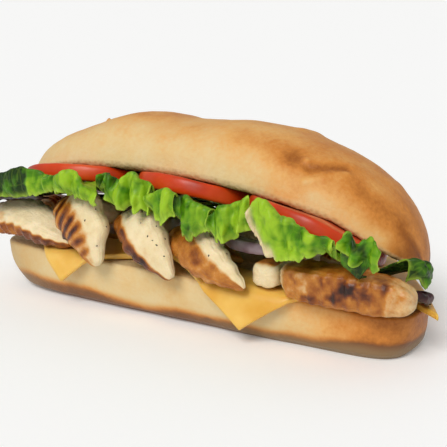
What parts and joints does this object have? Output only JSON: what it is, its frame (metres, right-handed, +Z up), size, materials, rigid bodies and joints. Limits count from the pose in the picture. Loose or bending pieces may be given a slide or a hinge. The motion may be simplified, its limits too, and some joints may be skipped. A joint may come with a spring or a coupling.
{
  "type": "submarine sandwich",
  "caption": "Filled submarine sandwich: a split soft roll with its crown tilted open over cheese slices, grilled chicken strips, lettuce, tomato and onion.",
  "frame": {"origin": "centre of the bounding box at the bottom, on the surface the roll rests on", "axes": "+X along the roll towards the fuller browned end, -Y towards the open front where the fillings show, +Z up"},
  "size_m": [0.2152, 0.1, 0.0815],
  "materials": {
    "crust": "soft matte baked crust, golden brown on top and cream at the cut edges",
    "cheese": "smooth satin yellow cheese",
    "chicken": "moist grilled meat, pale with brown seared patches",
    "tomato": "wet shiny red skin",
    "lettuce": "satin fresh green leaf",
    "red_leaf": "satin dark purple leaf",
    "onion": "moist translucent red onion"
  },
  "bodies": {
    "root": {"heel": "crust", "crown": "crust", "cheese_front_left": "cheese", "cheese_front_right": "cheese", "cheese_back_left": "cheese", "cheese_back_right": "cheese", "chicken_a": "chicken", "chicken_b": "chicken", "chicken_c": "chicken", "chicken_d": "chicken", "chicken_e": "chicken", "chicken_f": "chicken", "chicken_g": "chicken", "chicken_h": "chicken", "chicken_i": "chicken", "tomato_left": "tomato", "tomato_middle": "tomato", "tomato_right": "tomato", "lettuce_1": "lettuce", "lettuce_2": "lettuce", "lettuce_3": "lettuce", "lettuce_4": "lettuce", "lettuce_5": "lettuce", "lettuce_6": "lettuce", "lettuce_7": "lettuce", "lettuce_8": "lettuce", "lettuce_back_left": "lettuce", "lettuce_back_middle": "lettuce", "lettuce_back_right": "lettuce", "lettuce_right_end": "lettuce", "red_leaf_left_end": "red_leaf", "red_leaf_right_end": "red_leaf", "onion_outer": "onion", "onion_inner": "onion"}
  },
  "joints": []
}
